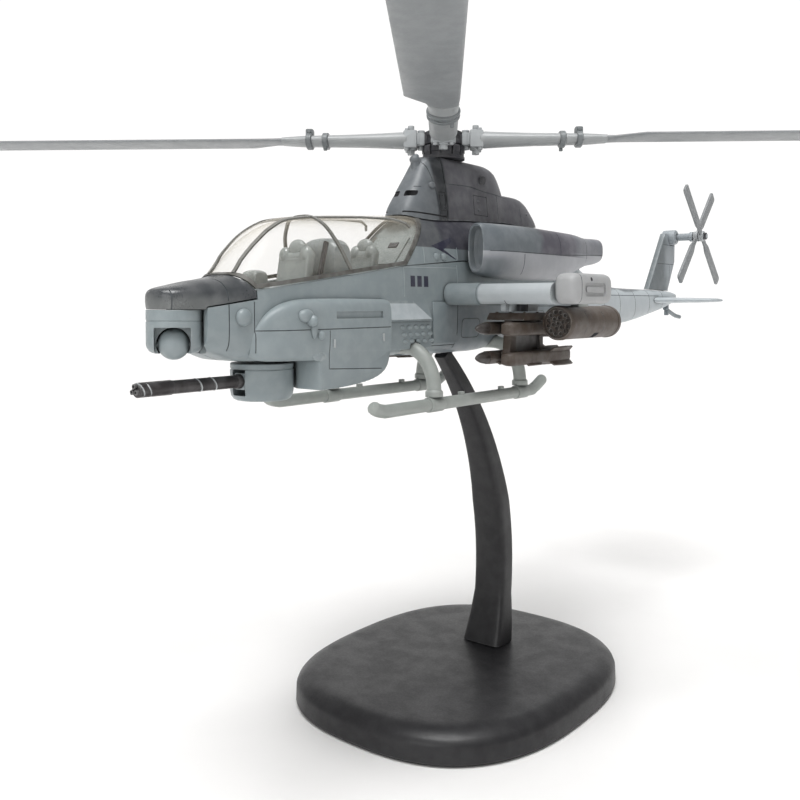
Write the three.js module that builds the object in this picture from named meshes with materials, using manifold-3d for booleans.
// Helicopter scale model on a display stand: a two-seat attack helicopter at about 1:55.
// Millimetres. +Z is up, the nose points to -Y and the port (left) side is +X.
// The origin is on the underside of the stand's base, straight below the rotor mast.
import * as THREE from 'three';
import { mergeVertices } from 'three/addons/utils/BufferGeometryUtils.js';
import Module from 'manifold-3d';

const wasm = await Module();
wasm.setup();

// ---------------------------------------------------------------- driving dimensions
const GAP = 0.3;               // air between two pieces that touch
const SEAM = GAP / 2;          // each fuselage half stops this far from the centre plane
const FAR = 400;               // longer than anything, for cutting blocks

const ROTOR_Z = 148.9;         // height of the main rotor's plane
const ROTOR_RADIUS = 133;
const BLADE_COUNT = 4;
const FIRST_BLADE_ANGLE = -54; // degrees from +X, seen from above
const BLADE_LEADING = 3.6;     // leading edge ahead of the blade's axis
const BLADE_TRAILING = 8.3;
const BLADE_THICK = 1.3;
const CUFF_HALF = 3.55;        // half the width of a blade's root
const MAST_RADIUS = 2;
const MAST_FOOT_Z = 117;
const HUB_RADIUS = 5;

const NOSE_Y = -92.7;          // front of the beak
const TAIL_Y = 158.6;          // end of the tail cone
const WINDSCREEN_Y = -76.6;    // foot of the windscreen on the centre line
const BOOM_JOINT_Y = 70;       // the tail boom is glued on here
const SHELL = 0.9;             // wall of the clear canopy

const SENSOR = { y: -87.3, radius: 5.35, top: 104.2, bottom: 95.9, ballRadius: 3, ballZ: 97.7, yaw: 47 };
const TURRET = { y: -65, radius: 6.65, top: 93, bottom: 85.2, gunZ: 89.4 };
const GUN_TIP_Y = -96.6;

const SKID_X = 16.5;
const SKID_RADIUS = 1.5;
const SKID_Z = 81.8;
const CROSS_RADIUS = 1.7;
const CROSS_Z = 94.9;
const CROSS_FRONT_Y = -26.2;
const CROSS_REAR_Y = 12.2;

const WING = { front: -13.5, rear: 5, bottom: 105.2, top: 110.2, tip: 39.8 };
const POD = { inner: 40.1, outer: 46.2, front: -13, rear: 6.5, bottom: 105.2, top: 112.4 };
const ROCKET = { x: 36.4, z: 100.7, radius: 4.2, front: -3.8, rear: 23 };
const MISSILE = { radius: 1.6, front: -15.6, rear: 14, columns: [21, 29.2], rows: [99.3, 92.2] };

const TAIL_HUB = { x: 12, y: 155, z: 131.8 };
const TAIL_ROTOR_RADIUS = 25;

const STAND = { arcY: -59.6, arcZ: 31, arcRadius: 85, top: 43, foot: -15.2, shoulder: 92 };
const BASE = { halfX: 38, halfY: 45, centreY: 8, height: 8 };
const PEG = { y: 1.6, radius: 1.6, top: 95.4 };
const ARM = { halfWide: 5, halfThick: 3.1, topWide: 2.2, topThick: 1.8, taperFrom: 12 };
const BASE_SCREW = { head: 3.4, shank: 1.5, recess: 4, tip: 12.2 };

// The screws go in from the starboard side and end inside the port half.
const SCREWS = [{ y: -18.5, z: 102.4 }, { y: 48, z: 104 }];
const SCREW = { head: 1.9, shank: 0.9, headX: -7.4, tipX: 6.4 };

const EXHAUST = { outer: 2.9, inner: 2.3, front: 57.4, rear: 65.2, z: 121.75, x: 11.8 };
const TUB = { half: 6.7, front: -70.7, rear: -29.3, floor: 104.3, wall: 1 };

// ---------------------------------------------------------------- materials
const paint = (color, roughness = 0.5, metalness = 0) =>
  new THREE.MeshStandardMaterial({ color, roughness, metalness });
const looks = {
  hull: paint(0x97a3a8, 0.45),
  dark: paint(0x555b60, 0.5),
  pale: paint(0xb9bfbd, 0.5),
  clear: paint(0xdcd8c8, 0.08),
  cabin: paint(0x9fb0b2, 0.6),
  stores: paint(0x6b6256, 0.6),
  blade: paint(0xa5b0b0, 0.5),
  gear: paint(0xa9b3b0, 0.45),
  black: paint(0x17171b, 0.35),
  steel: paint(0x8a8c8e, 0.35, 0.9),
};

// ---------------------------------------------------------------- geometry helpers
const degrees = THREE.MathUtils.degToRad;
const sideBasis = new THREE.Matrix4().makeBasis(
  new THREE.Vector3(0, 1, 0), new THREE.Vector3(0, 0, 1), new THREE.Vector3(1, 0, 0));

function solid(geometry) {
  const plain = geometry.index ? geometry.toNonIndexed() : geometry.clone();
  plain.deleteAttribute('normal');
  plain.deleteAttribute('uv');
  const merged = mergeVertices(plain, 1e-4);
  return new wasm.Manifold(new wasm.Mesh({
    numProp: 3,
    vertProperties: new Float32Array(merged.attributes.position.array),
    triVerts: new Uint32Array(merged.index.array),
  }));
}

function geometryOf(body) {
  const mesh = body.getMesh();
  const geometry = new THREE.BufferGeometry();
  geometry.setAttribute('position', new THREE.BufferAttribute(mesh.vertProperties, 3));
  geometry.setIndex(new THREE.BufferAttribute(mesh.triVerts, 1));
  geometry.computeVertexNormals();
  return geometry;
}

const joined = (...bodies) => bodies.reduce((sum, body) => sum.add(body));
const without = (body, ...cutters) => cutters.reduce((rest, cutter) => rest.subtract(cutter), body);
const mirrored = (body) => body.mirror([1, 0, 0]);

// A closed skin through rings of equal length; each end closes on the ring's middle.
function loft(rings) {
  const count = rings[0].length;
  const positions = rings.flat().flatMap((p) => [p.x, p.y, p.z]);
  const index = [];
  for (let r = 0; r + 1 < rings.length; r += 1) {
    for (let k = 0; k < count; k += 1) {
      const a = r * count + k;
      const b = r * count + (k + 1) % count;
      index.push(a, b, a + count, b, b + count, a + count);
    }
  }
  [0, rings.length - 1].forEach((r, end) => {
    const middle = rings[r].reduce((sum, p) => sum.add(p), new THREE.Vector3()).divideScalar(count);
    const centre = positions.length / 3;
    positions.push(middle.x, middle.y, middle.z);
    for (let k = 0; k < count; k += 1) {
      const a = r * count + k;
      const b = r * count + (k + 1) % count;
      index.push(...(end === 0 ? [centre, b, a] : [centre, a, b]));
    }
  });
  const geometry = new THREE.BufferGeometry();
  geometry.setAttribute('position', new THREE.Float32BufferAttribute(positions, 3));
  geometry.setIndex(index);
  return outward(geometry);
}

// Turns the triangles round if the skin encloses a negative volume.
function outward(geometry) {
  const at = geometry.attributes.position;
  const index = Array.from(geometry.index.array);
  const [a, b, c] = [new THREE.Vector3(), new THREE.Vector3(), new THREE.Vector3()];
  let volume = 0;
  for (let t = 0; t < index.length; t += 3) {
    a.fromBufferAttribute(at, index[t]);
    b.fromBufferAttribute(at, index[t + 1]);
    c.fromBufferAttribute(at, index[t + 2]);
    volume += a.dot(b.cross(c));
  }
  if (volume < 0) {
    geometry.setIndex(index.reverse());
  }
  return geometry;
}

// A superellipse: power 2 is an ellipse, higher powers are boxier. Returns [across, up] pairs.
function oval(count, half, up, down = up, power = 2, powerDown = power) {
  return Array.from({ length: count }, (_, k) => {
    const turn = (2 * Math.PI * (k + 0.5)) / count;
    const [c, s] = [Math.cos(turn), Math.sin(turn)];
    const n = s > 0 ? power : powerDown;
    const across = half * Math.sign(c) * Math.abs(c) ** (2 / n);
    return [across, (s > 0 ? up : down) * Math.sign(s) * Math.abs(s) ** (2 / n)];
  });
}

const block = (x0, x1, y0, y1, z0, z1) => solid(new THREE.BoxGeometry(x1 - x0, y1 - y0, z1 - z0)
  .translate((x0 + x1) / 2, (y0 + y1) / 2, (z0 + z1) / 2));

// A cylinder or cone along X, Y or Z between two places on that axis.
function rod(axis, from, to, radius, [x, y, z], sides = 20, endRadius = radius) {
  const geometry = new THREE.CylinderGeometry(endRadius, radius, to - from, sides);
  geometry.translate(0, (from + to) / 2, 0);
  if (axis === 'x') geometry.rotateZ(-Math.PI / 2);
  if (axis === 'z') geometry.rotateX(Math.PI / 2);
  return solid(geometry.translate(x, y, z));
}

const ball = (radius, [x, y, z], sides = 20) =>
  solid(new THREE.SphereGeometry(radius, sides, Math.round(sides * 0.6)).translate(x, y, z));

function shapeOf(points) {
  return new THREE.Shape(points.map(([a, b]) => new THREE.Vector2(a, b)));
}

// A side-view outline of [y, z] points, as a plate from x0 to x1 with its edges rounded by bevel.
function sidePlate(points, x0, x1, bevel = 0) {
  const options = { depth: x1 - x0 - 2 * bevel, bevelEnabled: bevel > 0 };
  Object.assign(options, { bevelSize: bevel, bevelThickness: bevel, bevelOffset: -bevel, bevelSegments: 2 });
  const geometry = new THREE.ExtrudeGeometry(shapeOf(points), options);
  return solid(geometry.applyMatrix4(sideBasis).translate(x0 + bevel, 0, 0));
}

// A plan outline of [x, y] points, as a plate from z0 to z1.
function planPlate(points, z0, z1, bevel = 0) {
  const options = { depth: z1 - z0 - 2 * bevel, bevelEnabled: bevel > 0 };
  Object.assign(options, { bevelSize: bevel, bevelThickness: bevel, bevelOffset: -bevel, bevelSegments: 2 });
  return solid(new THREE.ExtrudeGeometry(shapeOf(points), options).translate(0, 0, z0 + bevel));
}

const ACROSS_X = new THREE.Vector3(1, 0, 0);
const ACROSS_Y = new THREE.Vector3(0, 1, 0);

// A round tube along a smooth path that lies in the plane square to normal.
function pipe(points, normal, radiusAt, steps, sides = 8) {
  const path = new THREE.CatmullRomCurve3(points.map((p) => new THREE.Vector3(...p)), false, 'centripetal');
  return solid(loft(Array.from({ length: steps + 1 }, (_, k) => {
    const along = k / steps;
    const middle = path.getPointAt(along);
    const across = new THREE.Vector3().crossVectors(path.getTangentAt(along), normal).normalize();
    return oval(sides, radiusAt(along), radiusAt(along)).map(([a, b]) =>
      middle.clone().addScaledVector(across, a).addScaledVector(normal, b));
  })));
}

// Points on an arc, as [a, b] pairs, from one angle to another in degrees.
function arc(centreA, centreB, radius, from, to, steps) {
  return Array.from({ length: steps + 1 }, (_, k) => {
    const angle = degrees(from + ((to - from) * k) / steps);
    return [centreA + radius * Math.cos(angle), centreB + radius * Math.sin(angle)];
  });
}

// ---------------------------------------------------------------- the body's outer form
// One skin from beak to tail cone. Nose cap, canopy, fuselage halves, upper deck and
// tail boom are all cut from it, so their outsides run on into each other.
const BODY = [
  // y, half width, top, widest height, bottom, roundness above, roundness below
  [NOSE_Y, 1.0, 107.6, 106.2, 104.6, 2.4, 2.4],
  [-92.1, 2.6, 108.1, 106.2, 103.4, 2.6, 2.4],
  [-90.6, 4.3, 108.5, 106, 101.5, 2.8, 2.6],
  [-88, 5.5, 109, 105.5, 99.5, 3, 2.8],
  [-84.5, 6.5, 109.7, 104.5, 96.8, 3, 5],
  [-80, 7.8, 110.4, 103.5, 95.1, 3, 5],
  [WINDSCREEN_Y, 8.4, 111.2, 103, 94, 3, 5],
  [-72.4, 8.9, 116.2, 102.5, 93.7, 2.8, 5],
  [-67, 9.3, 120.9, 102.5, 93.6, 2.8, 5],
  [-61, 9.6, 123.6, 102.5, 93.5, 2.7, 5],
  [-51, 9.8, 124.9, 103, 93.3, 2.6, 4],
  [-36, 9.9, 126.1, 103.5, 93, 2.8, 4],
  [-16, 9.9, 127.5, 104, 92.5, 3, 4],
  [4, 9.9, 128.4, 105, 92.5, 3.4, 4],
  [20, 9.6, 128.8, 106, 93.9, 3.4, 3.6],
  [46, 9, 128.3, 107, 95.6, 3, 3.2],
  [58, 8.2, 124, 106.5, 96.2, 2.8, 3],
  [BOOM_JOINT_Y, 7.2, 117.4, 105.5, 96.7, 2.6, 2.8],
  [84, 6.2, 112.6, 104.8, 97.2, 2.6, 2.6],
  [104, 5.2, 110.9, 104.4, 98, 2.6, 2.5],
  [137, 3.8, 110.5, 106, 102.1, 2.6, 2.4],
  [152, 2.9, 110.1, 107.6, 104.6, 2.4, 2.2],
  [TAIL_Y, 1.6, 109.4, 108.2, 106.6, 2.2, 2.2],
];
const BODY_SIDES = 24;

// The skin at one station, moved inwards by inset (outwards if negative).
function bodyRing([y, half, top, waist, bottom, upper, lower], inset = 0) {
  const ring = oval(BODY_SIDES, half - inset, top - waist - inset, waist - bottom - inset, upper, lower);
  return ring.map(([x, z]) => new THREE.Vector3(x, y, waist + z));
}

const bodySkin = solid(loft(BODY.map((station) => bodyRing(station))));
const bodyGrown = solid(loft(BODY.map((station) => bodyRing(station, -GAP))));

// Height of the cockpit sill at a place along the body.
const SILL_FRONT = [-74, 108.1];
const SILL_REAR = [-28, 114.4];
const sillAt = (y) => SILL_FRONT[1]
  + ((y - SILL_FRONT[0]) * (SILL_REAR[1] - SILL_FRONT[1])) / (SILL_REAR[0] - SILL_FRONT[0]);
const DECK_LINE = [[-5, 116.4], [BOOM_JOINT_Y - GAP, 116.4]];
const CAP_LINE = [[-100, 104.6], [-84, 104.9], [-74, 106.5]];

// ---------------------------------------------------------------- fuselage
// The lower body's region, seen from the side.
function hullRegion() {
  const y = SILL_FRONT[0] + SEAM;
  return sidePlate([
    [-84.5, 104.9 - GAP], [y, 106.5 - GAP], [y, sillAt(y) - SEAM],
    [SILL_REAR[0], SILL_REAR[1] - SEAM], ...DECK_LINE.map(([a, b]) => [a, b - GAP]),
    [BOOM_JOINT_Y - GAP, 60], [-84.5, 60],
  ], -FAR, FAR);
}

// The cheek beside the front cockpit swells out of the side and ends flat at the rear.
const CHEEK = [
  // y, outer x, top, bottom
  [-75.4, 8.6, 99.4, 94.6], [-73.4, 9.9, 101.6, 94], [-70.4, 11.2, 104.2, 93.7], [-66.6, 12.2, 105.7, 93.6],
  [-61, 12.6, 106.2, 93.5], [-37.2, 12.6, 106.2, 92.9],
];

function frontCheek() {
  const rings = CHEEK.map(([y, outer, top, bottom]) => {
    const [half, up] = [(outer - 4) / 2, (top - bottom) / 2];
    return oval(16, half, up, up, 5).map(([x, z]) => new THREE.Vector3(outer - half + x, y, top - up + z));
  });
  return solid(loft(rings)).add(bellyBox());
}

// The deep box behind the gun turret, with a rounded lower rear edge.
const bellyBox = () => sidePlate(
  [[-60.2, 95], [-60.2, 87.3], ...arc(-46.4, 96.2, 8.9, -90, -20, 5), [-37.2, 92.5], [-37.2, 97], [-60.2, 97]],
  0, 12.4, 0.9);

// The shallower cheek behind it, over the front cross tube.
const rearCheek = () => sidePlate(
  [[-36.9, 95.2], [-36.9, 105.9], [-30, 105.4], [-15.4, 100.4], [-15.4, 95.2]], 4, 11.3, 0.6);

// Everything that is cut out of the lower body, both sides at once.
function hullCuts() {
  const turretWell = rod('z', 80, TURRET.top + GAP, TURRET.radius + 0.6, [0, TURRET.y, 0], 20);
  const turretPin = rod('z', 90, 98.4, 2.8, [0, TURRET.y, 0], 12);
  const sensorWell = rod('z', 90, 110, SENSOR.radius + 0.6, [0, SENSOR.y, 0], 20);
  const cockpit = sidePlate([[-71, 104], [-29, 104], [-29, 125], [-71, 125]], -7, 7);
  const reach = CROSS_RADIUS + GAP;
  const crossSlots = [CROSS_FRONT_Y, CROSS_REAR_Y].map((y) =>
    block(-30, 30, y - reach, y + reach, 80, CROSS_Z).add(rod('x', -30, 30, reach, [0, y, CROSS_Z], 12)));
  const mastBore = rod('z', MAST_FOOT_Z - GAP - 2, 125, MAST_RADIUS + GAP, [0, 0, 0], 14);
  const pegSocket = rod('z', 80, PEG.top + GAP, PEG.radius + GAP, [0, PEG.y, 0], 16);
  return joined(turretWell, turretPin, sensorWell, cockpit, ...crossSlots, mastBore, pegSocket,
    ...SCREWS.map(screwBore));
}


// The screw comes from the starboard side: an open counterbore, then a bore into the port half.
function screwBore({ y, z }) {
  const counterbore = rod('x', -FAR, SCREW.headX + 1.6, SCREW.head + GAP, [0, y, z], 14);
  return counterbore.add(rod('x', SCREW.headX, SCREW.tipX + GAP, SCREW.shank + GAP, [0, y, z], 10));
}

function screw({ y, z }) {
  const head = rod('x', SCREW.headX - 1.2, SCREW.headX + 1.2, SCREW.head, [0, y, z], 14);
  const shank = rod('x', SCREW.headX, SCREW.tipX, SCREW.shank, [0, y, z], 10);
  const slot = block(-20, SCREW.headX - 0.5, y - 0.25, y + 0.25, z - 3, z + 3);
  return head.add(shank).subtract(slot);
}

const cheeks = () => [frontCheek(), rearCheek()].flatMap((cheek) => [cheek, mirrored(cheek)]);

function fuselage() {
  const skin = bodySkin.intersect(hullRegion());
  const filler = block(-2, 2, -60, -40, 88.2, 95);
  return without(joined(skin, filler, ...cheeks()), hullCuts());
}

const hull = fuselage();
const portSide = block(SEAM, FAR, -FAR, FAR, -FAR, FAR);
const starboardSide = mirrored(portSide);
const hullGrown = joined(bodyGrown, ...cheeks());

// ---------------------------------------------------------------- nose, canopy, deck, boom
function noseCap() {
  const region = sidePlate([
    ...CAP_LINE.map(([y, z]) => [Math.min(y, SILL_FRONT[0] - SEAM), z]),
    [SILL_FRONT[0] - SEAM, SILL_FRONT[1] - SEAM], [WINDSCREEN_Y, 110.6], [-78, 118], [-100, 118],
  ], -FAR, FAR);
  const pinHole = rod('z', 100, 107.4, 1.8, [0, SENSOR.y, 0], 14);
  return without(bodySkin.intersect(region), pinHole);
}

function canopyRegion() {
  return sidePlate([
    [WINDSCREEN_Y + 0.15, 111], [SILL_FRONT[0], SILL_FRONT[1] + SEAM], [SILL_REAR[0], SILL_REAR[1] + SEAM],
    [-21, 122], [-15.6, 128.4], [-15.6, 140], [-77.4, 140],
  ], -FAR, FAR);
}

function canopy() {
  const inside = BODY.map((station) => bodyRing(station, SHELL));
  return bodySkin.intersect(canopyRegion()).subtract(solid(loft(inside)));
}

function upperDeck() {
  const region = sidePlate([
    [SILL_REAR[0] + GAP, SILL_REAR[1]], ...DECK_LINE, [BOOM_JOINT_Y - GAP, 140],
    [-15.2, 140], [-15.2, 128.4], [-20.6, 122],
  ], -FAR, FAR);
  return bodySkin.intersect(region).subtract(rod('z', 100, 140, MAST_RADIUS + GAP, [0, 0, 0], 14));
}

const tailBoom = () => bodySkin.intersect(block(-FAR, FAR, BOOM_JOINT_Y, FAR, -FAR, FAR));

// ---------------------------------------------------------------- cockpit

function cockpitTub() {
  const outer = sidePlate([
    [TUB.front, TUB.floor], [TUB.rear, TUB.floor], [TUB.rear, sillAt(TUB.rear) - 0.4],
    [TUB.front, sillAt(TUB.front) - 0.4]], -TUB.half, TUB.half);
  const well = (front, rear, floor) =>
    block(-TUB.half + TUB.wall, TUB.half - TUB.wall, front, rear, floor, 130);
  return without(outer, well(-69.2, -50.4, 105.4), well(-49.2, -30.6, 106.8));
}

// A bucket seat with a raked back and a headrest, facing the nose.
function seat(backY, floorZ, half) {
  const cushion = sidePlate(
    [[-7.5, 0.3], [0, 0.3], [0, 3.2], [-6.8, 3.6], [-7.5, 2.8]], -half, half, 0.4);
  const back = sidePlate([[-1.6, 1], [0.6, 1], [2.4, 11.2], [0.6, 11.6]], -half, half, 0.4);
  const headrest = sidePlate([[0.3, 11], [2, 10.8], [2.5, 14], [0.9, 14.4]], -2, 2, 0.5);
  return joined(cushion, back, headrest).translate(0, backY, floorZ);
}

// A rounded instrument hood on a narrow pedestal.
function console(frontY, floorZ, top, half, deep) {
  const hood = sidePlate([
    [0, 3.4], [deep, 3.4], [deep, top - 2], ...arc(deep - 2, top - 2, 2, 0, 90, 3), [0.9, top - 0.6],
  ], -half, half, 0.9);
  return hood.add(block(-1.6, 1.6, 1, deep - 0.6, 0.3, 4.4)).translate(0, frontY, floorZ);
}

// ---------------------------------------------------------------- rotor cowling
const COWL_SEAM_Y = -6.5;
const COWL_TOP = 143.2;
const KNOB = { y: -13.2, z: 142 };

// A ring in plan at height z, from yFront to yRear.
function planRing(z, yFront, yRear, half, power = 3) {
  const reach = (yRear - yFront) / 2;
  const middle = (yRear + yFront) / 2;
  return oval(18, half, reach, reach, power).map(([x, y]) => new THREE.Vector3(x, middle + y, z));
}

function cowling() {
  const tall = loft([
    planRing(120, -22, 28, 6.4, 3.6), planRing(128, -20.8, 27, 6.2, 3.6), planRing(133, -17.8, 26, 5.8, 3.4),
    planRing(138.4, -14, 24, 5.1, 3.2), planRing(141.6, -11.8, 21.8, 4.6, 3),
    planRing(COWL_TOP, -9.8, 18.2, 3.6, 3),
  ]);
  const low = loft([
    planRing(120, 10, 46, 5.8), planRing(128, 10, 44.4, 5.6), planRing(132.6, 10, 40.6, 5),
    planRing(135.4, 10, 36.6, 4.2), planRing(136.2, 11, 34, 3.4),
  ]);
  const mastBore = rod('z', 100, 150, MAST_RADIUS + GAP, [0, 0, 0], 16);
  return without(joined(solid(tall), solid(low)), bodyGrown, mastBore);
}

const cowl = cowling();

function cowlFront() {
  const piece = cowl.intersect(block(-FAR, FAR, -FAR, COWL_SEAM_Y - SEAM, -FAR, FAR));
  const slot = block(-1.6, 1.6, -30, -12, 136.6, 138.2);
  const knobStem = rod('z', 136, KNOB.z, 0.6, [0, KNOB.y, 0], 8);
  const knob = ball(1, [0, KNOB.y, KNOB.z], 10);
  return joined(piece.subtract(slot), knobStem, knob);
}

const cowlRear = () => cowl.intersect(block(-FAR, FAR, COWL_SEAM_Y + SEAM, FAR, -FAR, FAR));

function mastCollar() {
  const tube = rod('z', COWL_TOP + GAP, ROTOR_Z - 1.7, 5.7, [0, 0, 0], 24);
  return tube.subtract(rod('z', 140, 150, MAST_RADIUS + GAP, [0, 0, 0], 16));
}

// ---------------------------------------------------------------- engines
const NACELLE = [
  // y, centre x, half width, bottom, top
  [-5, 13.8, 2.3, 113.4, 125.5], [-4.2, 14, 3, 112.9, 125.9], [2, 14.2, 4.8, 112, 126],
  [32, 13.8, 5.2, 111.8, 126], [44, 13, 4.8, 114.2, 125.9], [54, 12.2, 4, 116.6, 125.3],
  [64, 11.8, 3.7, 118, 125.5],
];

function nacelleRing([y, x, half, bottom, top], inset = 0, power = 2.8) {
  const [up, middle] = [(top - bottom) / 2 - inset, (top + bottom) / 2];
  return oval(16, half - inset, up, up, power).map(([a, b]) => new THREE.Vector3(x + a, y, middle + b));
}

function nacelle() {
  const lip = NACELLE[0].slice(1);
  const intake = [-8, 5].map((y) => nacelleRing([y, ...lip], 0.5));
  const outlet = rod('y', EXHAUST.front - GAP, 80, EXHAUST.outer + GAP, [EXHAUST.x, 0, EXHAUST.z], 14);
  return without(solid(loft(NACELLE.map((s) => nacelleRing(s)))), solid(loft(intake)), outlet, bodyGrown);
}


function exhaust() {
  const place = [EXHAUST.x, 0, EXHAUST.z];
  const bore = rod('y', EXHAUST.front + 2, EXHAUST.rear + 1, EXHAUST.inner, place, 14);
  return rod('y', EXHAUST.front, EXHAUST.rear, EXHAUST.outer, place, 14).subtract(bore);
}

// ---------------------------------------------------------------- wings and stores
function wing() {
  const middle = (WING.top + WING.bottom) / 2;
  const section = [
    ...arc(WING.front + 2.5, middle, 2.5, 90, 270, 6), [-2, WING.bottom],
    [WING.rear, 106.8], [WING.rear, 107.6], [-2, WING.top],
  ];
  const panel = sidePlate(section, 8, WING.tip);
  const inner = block(23.7, 26.5, -8.5, 4.6, 103.4, 107);
  const outer = block(35.4, 37.4, -7, 4.6, 105.1, 107);
  return without(joined(panel, inner, outer), hullGrown);
}

function wingtipPod() {
  const middle = (POD.top + POD.bottom) / 2;
  const centre = (POD.inner + POD.outer) / 2;
  const half = (POD.outer - POD.inner) / 2;
  const rings = [[POD.front, 0.62], [-12.2, 0.86], [-10.4, 1], [3.9, 1], [5.7, 0.86], [POD.rear, 0.62]];
  const skin = loft(rings.map(([y, scale]) => oval(16, half * scale, 3.6 * scale, 3.6 * scale, 4)
    .map(([a, b]) => new THREE.Vector3(centre + a, y, middle + b))));
  const groove = block(POD.outer - 0.5, POD.outer + 1, -8.6, 2.2, 107.6, 110.2);
  return without(solid(skin), groove);
}

function rocketPod() {
  const place = [ROCKET.x, 0, ROCKET.z];
  const tubes = [[0, 1], [1.45, 6], [2.95, 12]].flatMap(([radius, count]) =>
    arc(ROCKET.x, ROCKET.z, radius, 15, 15 + 360 - 360 / count, Math.max(count - 1, 1)).slice(0, count));
  const bores = tubes.map(([x, z]) => rod('y', ROCKET.front - 1, ROCKET.front + 2.4, 0.5, [x, 0, z], 6));
  const rearRecess = rod('y', ROCKET.rear - 1, ROCKET.rear + 1, 3.6, place, 16);
  const body = rod('y', ROCKET.front, ROCKET.rear, ROCKET.radius, place, 20);
  return without(body, ...bores, rearRecess);
}

// A missile along Y: round nose and four tail fins set at 45 degrees.
function missile() {
  const profile = [
    [0, MISSILE.front], ...arc(0, MISSILE.front + 1.3, 1.3, -60, 0, 2),
    [MISSILE.radius, MISSILE.front + 4], [MISSILE.radius, MISSILE.rear - 1],
    [1.1, MISSILE.rear], [0, MISSILE.rear]];
  const lathe = new THREE.LatheGeometry(profile.map(([a, b]) => new THREE.Vector2(a, b)), 8);
  const outline = [[2, 0.4], [4, 3.6], [9.6, 3.6], [11.4, 0.4]];
  const fins = [45, 135, 225, 315].map((angle) => sidePlate(outline, -0.3, 0.3).rotate([0, angle, 0]));
  return joined(solid(outward(indexed(lathe))), ...fins);
}

function indexed(geometry) {
  geometry.deleteAttribute('normal');
  geometry.deleteAttribute('uv');
  return mergeVertices(geometry, 1e-4);
}

// The launcher: a beam under the pylon, a web between the columns and a rail beside each missile.
function missileRack() {
  const [inner, outer] = MISSILE.columns;
  const face = MISSILE.radius + GAP;
  const middle = (inner + outer) / 2;
  const beam = sidePlate([[-9.4, 101.3], [-8, 103.1], [1.4, 103.1], [1.4, 101.3]], inner - 1.2, outer + 1.2);
  const spine = block(middle - 1.1, middle + 1.1, 0, 8.4, 101.3, 103.1);
  const web = sidePlate(
    [[-8.8, 91.4], [-7.6, 102], [7.6, 102], [7.6, 91], [-7, 91]], middle - 1.1, middle + 1.1);
  const rails = MISSILE.rows.map((z) => block(inner + face, outer - face, -7.4, 1.4, z - 1.2, z + 1.4));
  return joined(beam, spine, web, ...rails);
}

// ---------------------------------------------------------------- landing gear
function skid() {
  const tube = pipe([
    [SKID_X, -48.8, 83.6], [SKID_X, -47.2, 82.5], [SKID_X, -44.6, 81.9], [SKID_X, -41, SKID_Z],
    [SKID_X, -14, SKID_Z], [SKID_X, 15, SKID_Z], [SKID_X, 19.4, 82.3], [SKID_X, 24.8, 84.8],
  ], ACROSS_X, () => SKID_RADIUS, 22);
  const steps = [-16, 2].map((y) => block(SKID_X - 0.5, SKID_X + 0.5, y, y + 1.6, SKID_Z, SKID_Z + 2.2));
  return joined(tube, ...steps);
}

// Half of a cross tube in front view, from the foot up under the belly, as [x, z] points.
const LEG = [[16.3, 86], [15.5, 88.3], [13.6, 91.1], [10.6, 93.7], [7, CROSS_Z], [3, CROSS_Z]];

function crossTube(y) {
  const foot = SKID_Z + SKID_RADIUS + GAP;
  const drop = [[SKID_X, foot], ...LEG].map(([x, z]) => [x, y, z]);
  const path = [...drop, ...drop.map(([x, , z]) => [-x, y, z]).reverse()];
  const collar = (along) => (Math.abs(along - 0.5) > 0.47 ? CROSS_RADIUS + 0.4 : CROSS_RADIUS);
  return pipe(path, ACROSS_Y, collar, 34);
}

// ---------------------------------------------------------------- tail
function tailFin() {
  const plate = sidePlate(
    [[129, 107], [133, 111.4], [148.4, 133.2], [158.4, 133.2], [158.2, 122.2], [151.6, 111], [151.6, 107]],
    -1.1, 1.1, 0.4);
  const gearbox = rod('x', -1.8, 3.4, 2.9, [0, TAIL_HUB.y - 1, TAIL_HUB.z], 14);
  const bore = rod('x', -0.6, 10, 1.3, [0, TAIL_HUB.y, TAIL_HUB.z], 12);
  return without(plate.add(gearbox), bodyGrown, bore);
}

const STABILIZER = [[1, 129.6], [23.4, 133], [25, 135], [25, 145], [24, 146.4], [1, 147]];
const stabilizer = () => planPlate(STABILIZER, 105.8, 107.3, 0.35).subtract(bodyGrown);

const tailSkid = () => pipe([[0, 151, 103.4], [0, 157, 101.6], [0, 162, 100.3], [0, 167, 99.7]],
  ACROSS_X, () => 0.8, 8)
  .add(rod('z', 100.6, 107, 0.9, [0, 152.6, 0], 10)).subtract(bodyGrown);

function tailHub() {
  const shaft = rod('x', -0.2, 15.2, 1, [0, TAIL_HUB.y, TAIL_HUB.z], 12);
  const flange = rod('x', 8.6, 10, 1.9, [0, TAIL_HUB.y, TAIL_HUB.z], 14);
  return shaft.add(flange);
}

// Two opposite blades on one boss, in the plane at x.
function tailBladePair(x, angle) {
  const half = [[1.2, -1], [4.5, -1], [7, -1.9], [24.4, -2.1], [TAIL_ROTOR_RADIUS, -1.2],
    [TAIL_ROTOR_RADIUS, 1.4], [24.4, 2.1], [7, 1.9], [4.5, 1], [1.2, 1]];
  const blade = sidePlate(half, -0.45, 0.45);
  const boss = rod('x', -0.9, 0.9, 2, [0, 0, 0], 14);
  const bore = rod('x', -5, 5, 1 + GAP, [0, 0, 0], 12);
  const pair = joined(blade, blade.rotate([180, 0, 0]), boss).subtract(bore);
  return pair.rotate([angle, 0, 0]).translate(x, TAIL_HUB.y, TAIL_HUB.z);
}

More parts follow.
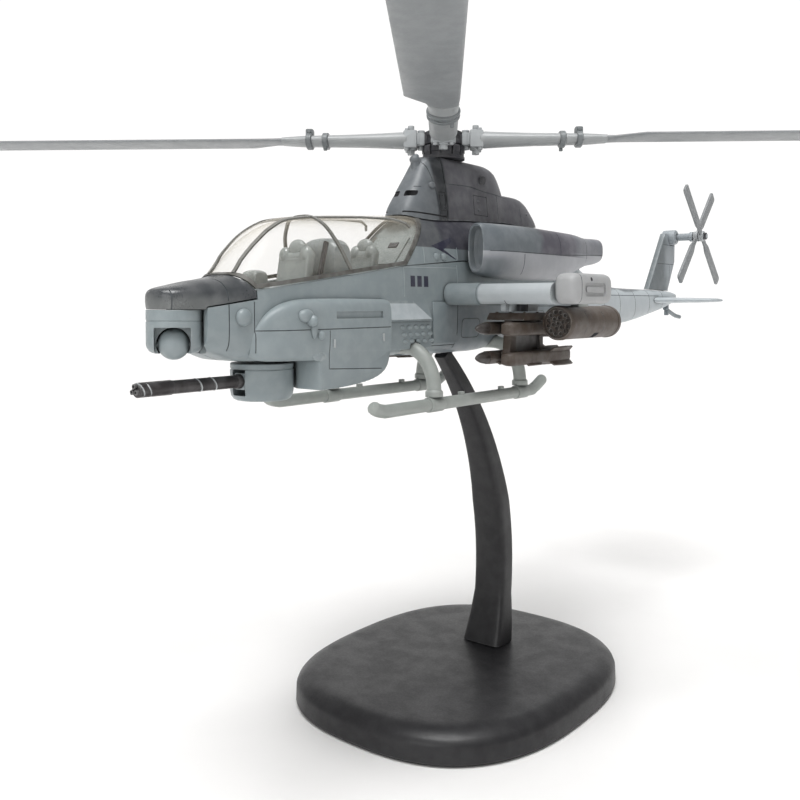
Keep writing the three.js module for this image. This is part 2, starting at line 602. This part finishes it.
// ---------------------------------------------------------------- main rotor
// Each blade's root ends on a fork of the hub; the mast runs down into the deck.
function rotorHub() {
  const mast = rod('z', MAST_FOOT_Z, ROTOR_Z, MAST_RADIUS, [0, 0, 0], 16);
  const drum = rod('z', ROTOR_Z - 1.4, ROTOR_Z + 2.2, HUB_RADIUS, [0, 0, 0], 20);
  const cap = rod('z', ROTOR_Z + 2.1, ROTOR_Z + 3.5, 3, [0, 0, 0], 14, 2.4);
  const lugs = bladeAngles().map((angle) =>
    block(HUB_RADIUS - 2, 6, -2.2, 2.2, ROTOR_Z - 1.3, ROTOR_Z + 1.3).rotate([0, 0, angle]));
  return joined(mast, drum, cap, ...lugs);
}

const bladeAngles = () =>
  Array.from({ length: BLADE_COUNT }, (_, k) => FIRST_BLADE_ANGLE + (360 / BLADE_COUNT) * k);

// A ring across the blade at radius r.
const bladeRing = (r, half, thick, centre = 0, power = 2) =>
  oval(10, half, thick / 2, thick / 2, power).map(([y, z]) => new THREE.Vector3(r, centre + y, z));

// One blade along +X: clamp, cuff, collars, then the flared root and the flat blade.
function mainBlade() {
  const clamp = block(6.3, 10.6, -3.2, 3.2, -2.5, 2.5);
  const nut = rod('z', -3.9, 3.9, 1.2, [8.6, 0, 0], 6);
  const cuff = loft([
    bladeRing(9, CUFF_HALF, 4.4), bladeRing(16, CUFF_HALF, 3.9), bladeRing(24, CUFF_HALF, 3.3),
    bladeRing(38, CUFF_HALF, 3), bladeRing(43, CUFF_HALF, 2),
  ]);
  const collars = [30.6, 35].map((r) => rod('x', r, r + 1.6, 3.9, [0, 0, 0], 10).scale([1, 1, 0.56]));
  const lug = block(34.8, 36.8, -1.6, 1.6, 0, 3.2);
  const chord = (BLADE_LEADING + BLADE_TRAILING) / 2;
  const centre = (BLADE_LEADING - BLADE_TRAILING) / 2;
  const panel = loft([
    bladeRing(41, 3.2, 1.9), bladeRing(45, 3.7, BLADE_THICK, -0.2),
    bladeRing(52, chord, BLADE_THICK, centre, 2.6), bladeRing(130, chord, BLADE_THICK, centre, 2.6),
    bladeRing(ROTOR_RADIUS, chord - 1, BLADE_THICK - 0.2, centre + 0.4, 2.6)]);
  return joined(clamp, nut, solid(cuff), solid(panel), lug, ...collars);
}

// ---------------------------------------------------------------- gun turret and sensor
function gunTurret() {
  const place = [0, TURRET.y, 0];
  const drum = rod('z', TURRET.bottom + 1, TURRET.top, TURRET.radius, place, 20)
    .add(rod('z', TURRET.bottom, TURRET.bottom + 1, TURRET.radius - 0.8, place, 20, TURRET.radius));
  const pin = rod('z', TURRET.top - 1, 98, 2.5, place, 12);
  const slot = block(-1.9, 1.9, TURRET.y - 8, TURRET.y + 2.2, TURRET.gunZ - 3, TURRET.gunZ + 2.4);
  const trunnionBore = rod('x', -4.6, 4.6, 1.1, [0, TURRET.y, TURRET.gunZ], 12);
  return without(drum.add(pin), slot, trunnionBore);
}

// Three barrels held by a breech, ring clamps and a muzzle clamp.
function gunBarrels() {
  const z = TURRET.gunZ;
  const barrels = arc(0, 0, 0.72, 90, 330, 2)
    .map(([x, up]) => rod('y', GUN_TIP_Y, -71, 0.55, [x, 0, z + up], 6));
  const breech = rod('y', -72.4, TURRET.y + 1.2, 1.5, [0, 0, z], 12);
  const trunnion = rod('x', -4.3, 4.3, 0.8, [0, TURRET.y, z], 12);
  const clamps = [[-78, 1.4], [-84.4, 1.4]].map(([y, radius]) => rod('y', y, y + 1.4, radius, [0, 0, z], 10));
  const muzzle = rod('y', GUN_TIP_Y + 0.6, GUN_TIP_Y + 8, 1.45, [0, 0, z], 10);
  return joined(...barrels, breech, trunnion, ...clamps, muzzle);
}

// The sensor turret is drawn facing the nose about its own axis, then turned to its rest yaw.
const placeSensor = (body) => body.rotate([0, 0, SENSOR.yaw]).translate(0, SENSOR.y, 0);
const BALL_Y = -1.6;

function sensorHousing() {
  const drum = rod('z', SENSOR.bottom + 1, SENSOR.top, SENSOR.radius, [0, 0, 0], 20)
    .add(rod('z', SENSOR.bottom, SENSOR.bottom + 1, SENSOR.radius - 0.9, [0, 0, 0], 20, SENSOR.radius));
  const pin = rod('z', SENSOR.top - 1, 107, 1.5, [0, 0, 0], 12);
  const bay = block(-3.4, 3.4, -8, 1.9, 90, 101.1);
  const bore = rod('x', -4.5, 4.5, 0.9, [0, BALL_Y, SENSOR.ballZ], 10);
  return placeSensor(without(drum.add(pin), bay, bore));
}

function sensorBall() {
  const centre = [0, BALL_Y, SENSOR.ballZ];
  const axle = rod('x', -4.2, 4.2, 0.6, centre, 10);
  return placeSensor(ball(SENSOR.ballRadius, centre, 12).add(axle));
}

// ---------------------------------------------------------------- stand
// The arm is a curved bar that narrows to the top: each ring lies across the arc at one angle.

function armRing(angle) {
  const taper = Math.max(0, (angle - ARM.taperFrom) / (STAND.top - ARM.taperFrom));
  const flare = Math.max(0, (STAND.foot + 9 - angle) / 9);
  const wide = THREE.MathUtils.lerp(ARM.halfWide, ARM.topWide, taper) + 1.2 * flare;
  const thick = THREE.MathUtils.lerp(ARM.halfThick, ARM.topThick, taper) + 1.2 * flare;
  const [cos, sin] = [Math.cos(degrees(angle)), Math.sin(degrees(angle))];
  return oval(12, wide, thick, thick, 4).map(([x, out]) => {
    const radius = STAND.arcRadius + out;
    return new THREE.Vector3(x, STAND.arcY + radius * cos, STAND.arcZ + radius * sin);
  });
}

function standArm() {
  const steps = 14;
  const angles = Array.from({ length: steps + 1 }, (_, k) =>
    STAND.foot - 2 + ((STAND.top + 5 - STAND.foot) * k) / steps);
  const arm = solid(loft(angles.map(armRing)))
    .intersect(block(-FAR, FAR, -FAR, FAR, BASE.height + GAP, STAND.shoulder));
  const peg = rod('z', STAND.shoulder - 3, PEG.top, PEG.radius, [0, PEG.y, 0], 14);
  const bore = rod('z', 0, BASE_SCREW.tip + GAP, BASE_SCREW.shank + GAP, [0, footY(), 0], 12);
  return arm.add(peg).subtract(bore);
}

// Where the arm's middle meets the base.
const footY = () => STAND.arcY + Math.sqrt(STAND.arcRadius ** 2 - (STAND.arcZ - BASE.height) ** 2);

function baseScrew() {
  const place = [0, footY(), 0];
  const head = rod('z', 1.6, BASE_SCREW.recess - GAP, BASE_SCREW.head, place, 18);
  const shank = rod('z', 2, BASE_SCREW.tip, BASE_SCREW.shank, place, 12);
  return head.add(shank).subtract(block(-5, 5, footY() - 0.4, footY() + 0.4, 0, 2.5));
}

function standBase() {
  const ring = (z, inset) => oval(32, BASE.halfX - inset, BASE.halfY - inset, BASE.halfY - inset, 2.6)
    .map(([x, y]) => new THREE.Vector3(x, BASE.centreY + y, z));
  const plate = solid(loft([ring(0, 0.8), ring(1, 0), ring(5, 0.4), ring(BASE.height, 4)]));
  const place = [0, footY(), 0];
  return without(plate, rod('z', -1, BASE_SCREW.recess, BASE_SCREW.head + GAP, place, 18),
    rod('z', 1, 10, BASE_SCREW.shank + GAP, place, 12));
}

// ---------------------------------------------------------------- assembly
const model = new THREE.Group();
model.name = 'helicopter_scale_model';

function add(name, body, look) {
  const mesh = new THREE.Mesh(geometryOf(body), look);
  mesh.name = name;
  model.add(mesh);
  return mesh;
}

// One piece on the port side and its mirror image on the starboard side.
function addPair(name, body, look) {
  add(`${name}_left`, body, look);
  add(`${name}_right`, mirrored(body), look);
}

add('stand_base', standBase(), looks.black);
add('stand_arm', standArm(), looks.black);
add('base_screw', baseScrew(), looks.steel);

add('fuselage_left', hull.intersect(portSide), looks.hull);
add('fuselage_right', hull.intersect(starboardSide), looks.hull);
add('fuselage_screw_front', screw(SCREWS[0]), looks.steel);
add('fuselage_screw_rear', screw(SCREWS[1]), looks.steel);
add('nose_cap', noseCap(), looks.dark);
add('canopy', canopy(), looks.clear);
add('upper_deck', upperDeck(), looks.dark);
add('tail_boom', tailBoom(), looks.hull);

add('cockpit_tub', cockpitTub(), looks.cabin);
add('front_seat', seat(-55.8, 105.4, 4.6), looks.cabin);
add('rear_seat', seat(-33.2, 106.8, 3.8), looks.cabin);
add('front_console', console(-69, 105.4, 7, 2.2, 4), looks.cabin);
add('rear_console', console(-48.8, 106.8, 13.4, 5.2, 6.6), looks.cabin);

add('cowl_front', cowlFront(), looks.dark);
add('cowl_rear', cowlRear(), looks.dark);
add('mast_collar', mastCollar(), looks.black);
addPair('nacelle', nacelle(), looks.hull);
addPair('exhaust', exhaust(), looks.dark);

addPair('wing', wing(), looks.hull);
addPair('wingtip_pod', wingtipPod(), looks.pale);
addPair('rocket_pod', rocketPod(), looks.stores);
addPair('missile_rack', missileRack(), looks.stores);
MISSILE.columns.forEach((x, column) => MISSILE.rows.forEach((z, row) => {
  const place = `missile_${['inner', 'outer'][column]}_${['upper', 'lower'][row]}`;
  addPair(place, missile().translate(x, 0, z), looks.stores);
}));

addPair('skid', skid(), looks.gear);
add('cross_tube_front', crossTube(CROSS_FRONT_Y), looks.gear);
add('cross_tube_rear', crossTube(CROSS_REAR_Y), looks.gear);

add('tail_fin', tailFin(), looks.dark);
addPair('stabilizer', stabilizer(), looks.hull);
add('tail_skid', tailSkid(), looks.hull);
add('tail_rotor_shaft', tailHub(), looks.dark);
add('tail_blade_pair_inner', tailBladePair(11.2, 45), looks.blade);
add('tail_blade_pair_outer', tailBladePair(13.3, -45), looks.blade);

add('rotor_hub', rotorHub(), looks.dark);
bladeAngles().forEach((angle, k) => {
  const mesh = add(`main_blade_${k + 1}`, mainBlade(), looks.blade);
  mesh.position.z = ROTOR_Z;
  mesh.rotation.z = degrees(angle);
});

add('gun_turret', gunTurret(), looks.hull);
add('gun_barrels', gunBarrels(), looks.black);
add('sensor_housing', sensorHousing(), looks.hull);
add('sensor_ball', sensorBall(), looks.hull);

export default model;
